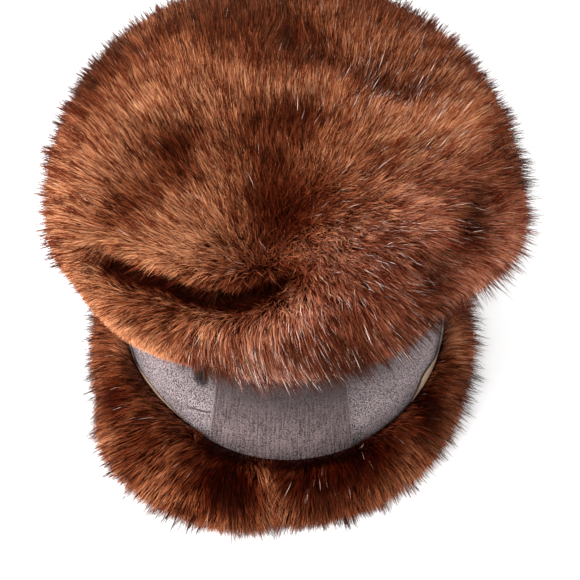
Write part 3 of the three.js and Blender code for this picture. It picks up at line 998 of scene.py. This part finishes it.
# In each column the hide ends where it meets the band.
columns = np.arange(0, 361, 2.0)
turns = np.arange(90, 215, 0.5)
grid_turn, grid_around = np.meshgrid(turns, columns)
grid_directions = away_from_whorl(grid_turn.ravel(), grid_around.ravel())
met = inside_band(crown_point(grid_directions), 1.0).reshape(grid_turn.shape)
last_turn = np.where(met.any(1), turns[met.argmax(1)], turns[-1])
hide_turn = ball_share * np.interp(ball_around, columns, last_turn)
set_points(crown_hide, crown_point(away_from_whorl(hide_turn, ball_around)))
merge_seam(crown_hide, 0.00002)
crown_hide.data.materials.append(hide_material)
crown_hide.data.materials.append(suede_material)
add_modifier(
    crown_hide,
    "SOLIDIFY",
    thickness=(CROWN_WALL - FUR_DEPTH) / 1000,
    offset=-1,
    material_offset=1,
    material_offset_rim=1,
)
shade_smooth(crown_hide, 60)
fit_piece(crown_hide, None, "crown")

# The crown's fur: dense ginger underwool under longer, darker guard hairs, and stray silver
# ones that show most low on the front and over the right, partly real silver hairs and partly
# painted glints. It is long enough at the crown's lower edge to hang over the band.
CROWN_HAIRS = 239000
CROWN_TONE = 0.579
CROWN_GUARD_DARKER = 0.43
CROWN_GUARD_LENGTH = (12, 1.5)
CROWN_WOOL_LENGTH = (8.5, 1.3)
CROWN_SILVER_LENGTH = 11.5
CROWN_ROOT_RISE = (60, 9)
CROWN_TIP_RISE = (42, 10)
CROWN_HAIR_WIDTHS = (0.165, 0.18, 0.26)
RUDDY_SHARE = 0.78
# the bottom of the front crease, as angle and rise, where no hair is rooted
CREASE = [(-54, 12.4), (-44, 15.4), (-35, 17), (-25, 17.3), (-14, 18), (-3, 21.5), (2, 24)]
CREASE_BREADTH = 4.3
# Some of these spots are painted shade: the dark ones low on the right at 62 and 65 degrees lie
# along the right fold.
# angle, rise, spread, and how much lighter or darker the fur is there
CROWN_MARKINGS = [
    (-80, 41, 11, -0.26), (-70, 44, 9, -0.14), (-87, 35, 6, -0.08), (-57, 42, 8, -0.26),
    (-59, 26, 8, -0.28), (-50, 84, 14, -0.30), (90, 83, 7, -0.10), (100, 78, 10, -0.26),
    (75, 76, 9, -0.08), (90, 54, 7, -0.08), (112, 45, 8, -0.10), (113, 34, 8, -0.10),
    (-17, 62, 10, -0.22), (-4, 44, 12, -0.48), (3, 38, 9, -0.12), (-19, 62, 9, -0.06),
    (12, 55, 9, -0.10), (17, 46, 8, -0.12), (-46, 70, 9, -0.12), (-155, 35, 15, -0.40),
    (-140, 36, 7, 0.10), (-150, 28, 6, 0.08), (-128, 42, 8, 0.08), (-113, 17, 6, -0.26),
    (-105, 8, 6, -0.16), (-124, 25, 6, -0.18), (-119, 13, 6, -0.30), (-116, 29, 6, 0.08),
    (-130, 34, 6, 0.07), (-145, 62, 10, 0.09), (-150, 76, 7, 0.10), (-118, 58, 8, 0.07),
    (-72, 58, 6, 0.07), (-165, 72, 6, 0.07), (-64, 36, 5, 0.13), (-68, 28, 5, 0.10),
    (180, 33, 10, -0.10), (172, 49, 12, -0.30), (122, 47, 9, -0.30), (107, 35, 8, -0.25),
    (88, 19, 9, -0.20), (68, 21, 9, -0.25), (62, 14, 6, -0.24), (56, 10, 6, 0.08),
    (-60, 10, 7, 0.06), (-41, 0, 7, 0.12), (-10, 15, 8, -0.06), (-30, 8, 6, -0.16),
    (14, 4, 10, -0.24), (32, 6, 8, -0.15), (88, 15, 7, -0.07), (-41, 12, 6, -0.18),
    (3, 11, 6, -0.22), (22, 17, 8, -0.11), (39, 14, 11, -0.13), (-97, 39, 9, 0.30),
    (-61, 50, 7, 0.16), (-110, 47, 7, 0.09), (-103, 25, 5, 0.10), (-20, 42, 5, 0.12),
    (-16, 34, 5, 0.09), (-47, 36, 9, 0.18), (-40, 43, 6, -0.07), (-80, 29, 9, 0.22),
    (75, 44, 22, 0.13), (60, 52, 7, -0.11), (45, 52, 7, -0.06), (80, 48, 6, 0.08),
    (29, 54, 6, -0.06), (60, 28, 8, 0.08), (53, 30, 6, 0.10), (115, 22, 7, 0.08),
    (57, 8, 5, 0.14), (68, 9, 5, 0.18), (24, 48, 6, -0.08), (40, 78, 8, -0.10),
    (20, 73, 7, -0.09), (56, 18, 4, 0.10), (65, 14.5, 4, -0.16), (61, 11, 4, -0.07),
    (4, 28, 5, -0.08), (57, 70, 13, 0.06), (161, 70, 9, 0.25), (159, 33, 8, 0.08),
    (-39, 26, 10, 0.20), (-50, 10, 11, 0.12), (-53, 11, 5, -0.12), (-63, 13, 6, -0.07),
    (-32, 0, 8, 0.14), (3, 33, 4.5, 0.27), (6, 5, 8, -0.13), (61, 37, 6, -0.12),
    (105, 37, 5, -0.08), (112, 18, 5, 0.09), (-23, 15, 5, 0.09), (45, 13, 5, 0.08),
    (6, 18, 4, 0.30), (16, 33, 7, 0.16), (-25, 14, 7, 0.05), (-4, 12, 6, 0.14),
    (-56, 8, 8, 0.08), (70, 8, 9, 0.20), (-74, 13, 14, 0.08), (100, 42, 13, 0.16),
    (94, 27, 11, 0.36), (105, 26, 13, 0.07), (60, 38, 7, 0.13), (24, 37, 7, 0.08),
    (-20, 13, 6, 0.10), (-50, 20, 6, 0.17), (-88, 50, 8, 0.06),
]
# the same for the share of silver hairs, and for two small gaps in the lower edge's hair,
# above the corners of the tab, whose hair is also painted near black as shade
SILVER_SPOTS = [
    (-6, 1, 16, 0.078), (30, 22, 20, 0.032), (110, 42, 9, 0.05), (115, 42, 28, 0.022),
    (62, 19, 6, 0.04), (-160, 66, 7, 0.02),
]
SHADED_EDGE_GAPS = [(-21, -4, 5, 1), (19, -4, 5, 0.6)]

crown_dice = np.random.default_rng(5)
directions = unit(crown_dice.normal(size=(CROWN_HAIRS * 4, 3)))
surface = crown_point(directions)
chart = to_chart(directions)
away = unit(chart - WHORL_CHART)
step = 0.008 * (1 + (chart**2).sum(-1, keepdims=True))
turned = np.stack([-away[:, 1], away[:, 0]], -1)
along_hair = crown_point(from_chart(chart + away * step)) - surface
along_side = crown_point(from_chart(chart + turned * step)) - surface
normals = unit(np.cross(along_hair, along_side))
normals *= np.sign((normals * directions).sum(-1, keepdims=True))
# Even growth over the face: a direction is kept as often as it covers area.
cover = np.linalg.norm(surface - np.array([0, 0, CROWN_CENTRE]), axis=-1) ** 2
cover = cover / np.maximum((normals * directions).sum(-1), 0.25)
under = smoothstep(-directions[:, 2], 0.35, 0.75)
behind = smoothstep(directions[:, 1], 0.3, 0.7) * smoothstep(-directions[:, 2], -0.25, 0)
cover = cover * (1 - 0.5 * under) * (1 - 0.35 * behind)
kept = crown_dice.random(len(directions)) < cover / np.quantile(cover, 0.995)
kept &= ~inside_band(surface, 2.0)
around = round_head(directions[:, 0], directions[:, 1])
crease_path = np.array([direction_to(*stop) for stop in CREASE]) * FOLD_RADIUS
from_crease = distance_to_path(directions * FOLD_RADIUS, crease_path)
wider = 0.9 * smoothstep(-around, 38, 50) + 0.9 * bell(around + 18, 10)
beyond = from_crease - (CREASE_BREADTH + wider - 2.2 * smoothstep(around, -12, 0))
kept &= beyond > 0
kept = np.nonzero(kept)[0][:CROWN_HAIRS]
count = len(kept)
directions, roots, normals = directions[kept], surface[kept], normals[kept]
chart, around = chart[kept], around[kept]
from_crease, beyond = from_crease[kept], beyond[kept]


def lies_away_from(angle, rise, softness):
    apart = chart - to_chart(direction_to(angle, rise))
    here = apart / (np.linalg.norm(apart, axis=-1, keepdims=True) + softness)
    onwards = from_chart(chart + here * 0.01) - directions
    onwards -= normals * (onwards * normals).sum(-1, keepdims=True)
    return unit(onwards) * np.linalg.norm(here, axis=-1, keepdims=True)


# On the left the hair lies away from the whorl, on the right away from a parting higher up,
# and between the two it is matted and lies every way.
to_right = smoothstep(roots[:, 0], -16, 34)[:, None]
flow = (1 - to_right) * lies_away_from(-3, 26, 0.16) + to_right * lies_away_from(14, 58, 0.16)
# Low on the front the hair hangs down over the band, a little to the right.
hanging = smoothstep(-roots[:, 1], 55, 85) * smoothstep(-directions[:, 2], -0.30, 0.05)
hanging = hanging * smoothstep(around, -30, -20) * (1 - 0.6 * smoothstep(around, 10, 40))
flow += hanging[:, None] * np.array([1.8, 0, -2.2])
matted = 1 - np.clip(np.linalg.norm(flow, axis=-1), 0, 1)
swirl = np.stack([smooth_noise(roots, 12, 80 + 5 * k) for k in range(3)], -1)
# Low on the left it is short and stands up, and it is untidy there and where it is matted.
low_left = smoothstep(around, -75, -60) * (1 - smoothstep(around, -27, -20))
low_left = low_left * smoothstep(-directions[:, 2], -0.16, -0.01)
unruly = crown_dice.normal(0, 0.15, (count, 3)) * (1 + matted + 2 * low_left)[:, None]
flow = flow + 0.16 * swirl + unruly
flow = unit(flow - normals * (flow * normals).sum(-1, keepdims=True))

tone = CROWN_TONE + 0.05 * smooth_noise(roots, 26, 64) + 0.025 * smooth_noise(roots, 8, 65)
tone = add_spots(tone - 0.0003 * roots[:, 0], directions, CROWN_MARKINGS)
# The crease's shade is painted: the hair at its edge is painted black, and the fur beside
# and above it is painted darker.
shade = 0.05 + 0.10 * smoothstep(around, -35, -15)
tone -= 0.9 * (1 - smoothstep(beyond, 0.3, 3.0))
tone -= shade * (1 - smoothstep(beyond, 2, 10))
below = directions * FOLD_RADIUS - np.array([0, 0, 10])
tone -= 0.14 * bell(distance_to_path(below, crease_path), 6)
# Painted shade: in the gaps the hair is shorter and painted near black, as the dark hollow under
# the edge.
shaded_gap = add_spots(0, directions, SHADED_EDGE_GAPS)
tone = tone - 0.9 * shaded_gap + crown_dice.normal(0, 0.1, count)
guard = pick_guard(roots, crown_dice, np.clip(0.3 * matted + 0.8 * low_left, 0, 1))
tone += np.where(guard, 0.12 * matted - CROWN_GUARD_DARKER, WOOL_PALER)
silver_share = add_spots(0.0006, directions, SILVER_SPOTS)
no_silver = 3 * shaded_gap + low_left + bell(degrees_apart(directions, -2, 40), 13)
silver_share = silver_share * smoothstep(from_crease, 9, 15) * (1 - np.clip(no_silver, 0, 1))
silver = crown_dice.random(count) < silver_share
silver_tone = crown_dice.uniform(0.95, 0.985, count)
tone = np.where(silver, silver_tone, np.clip(tone, *BROWN_TONES))
guard_length = crown_dice.normal(*CROWN_GUARD_LENGTH, count)
wool_length = crown_dice.normal(*CROWN_WOOL_LENGTH, count)
lengths = np.select([silver, guard], [CROWN_SILVER_LENGTH, guard_length], wool_length)
lengths = lengths + 1.5 * hanging - 3.5 * shaded_gap
low_right = bell_round(around, 38, 22) * smoothstep(-directions[:, 2], -0.05, 0.12)
lengths = lengths * (1 - 0.58 * low_left) * (1 - 0.5 * low_right)
lengths = lengths * (1 - 0.58 * bell(from_crease, 8.5)) * (1 - 0.2 * matted)
# The front and the right of the crown are of a ruddier pelt.
to_ruddy = smoothstep(0.7 * roots[:, 0] - roots[:, 1], 40, 100)
ruddy = crown_dice.random(count) < RUDDY_SHARE * to_ruddy
root_rise = crown_dice.normal(*CROWN_ROOT_RISE, count)
root_rise = root_rise + 2 * matted + 20 * low_left - 24 * hanging
tip_rise = crown_dice.normal(*CROWN_TIP_RISE, count)
tip_rise = tip_rise + 4 * matted + 22 * low_left - 22 * hanging
crown_hairs = dict(
    roots=roots,
    outwards=normals,
    flow=flow,
    lengths=lengths,
    widths=np.select([silver, guard], CROWN_HAIR_WIDTHS[:2], CROWN_HAIR_WIDTHS[2]),
    tones=tone,
    ruddy=ruddy | silver,
    root_rise=np.radians(root_rise),
    tip_rise=np.radians(tip_rise),
    guard=guard,
)
# The fur is in four quarters that meet at the whorl, each with its own seed.
CROWN_QUARTERS = {"back": 74, "left": 74, "front": 75, "right": 75}
from_whorl = chart - WHORL_CHART
turned = round_head(from_whorl[:, 0], -from_whorl[:, 1]) % 360
order = np.argsort((turned + 45) % 360)
for (side, seed), members in zip(CROWN_QUARTERS.items(), np.array_split(order, 4)):
    hairs = {part: values[members] for part, values in crown_hairs.items()}
    fur = grow_fur("crown_fur_" + side, seed, **hairs)
    fit_piece(fur, mink_material, "crown")

# A plain pale floor that the brim rests on, and soft studio light: a big lamp high on the
# left, a weaker one on the right, and a white room.
FLOOR_GLOW = 0.20
ROOM_LIGHT = 1.14
HAT_MIDDLE = (0, 0, 0.1)
floor = start_piece("floor", bpy.ops.mesh.primitive_plane_add, size=6, location=(0, 0, 0))
floor_finish = Finish(
    "pale_floor", Roughness=0.9, Emission_Color=(1, 1, 1, 1), Emission_Strength=FLOOR_GLOW
)
floor_colour = floor_finish.mix(floor_finish.noise(40), (0.93, 0.93, 0.93), (0.96, 0.96, 0.96))
floor.data.materials.append(floor_finish.dress(Base_Color=floor_colour))


def add_lamp(name, place, size, watts):
    lamp_data = bpy.data.lights.new(name, "AREA")
    lamp_data.shape = "DISK"
    lamp_data.size = size
    lamp_data.energy = watts
    lamp = bpy.data.objects.new(name, lamp_data)
    lamp.location = place
    lamp.rotation_mode = "QUATERNION"
    towards = Vector(HAT_MIDDLE) - Vector(place)
    lamp.rotation_quaternion = towards.to_track_quat("-Z", "Y")
    bpy.context.collection.objects.link(lamp)


add_lamp("key_lamp", (-1.1, -0.5, 1.3), size=0.9, watts=50)
add_lamp("fill_lamp", (1.2, -0.3, 1.1), size=0.9, watts=3)
room = bpy.data.worlds.new("white_room")
room.use_nodes = True
room_light = room.node_tree.nodes["Background"].inputs
room_light["Color"].default_value = (1, 1, 1, 1)
room_light["Strength"].default_value = ROOM_LIGHT
bpy.context.scene.world = room
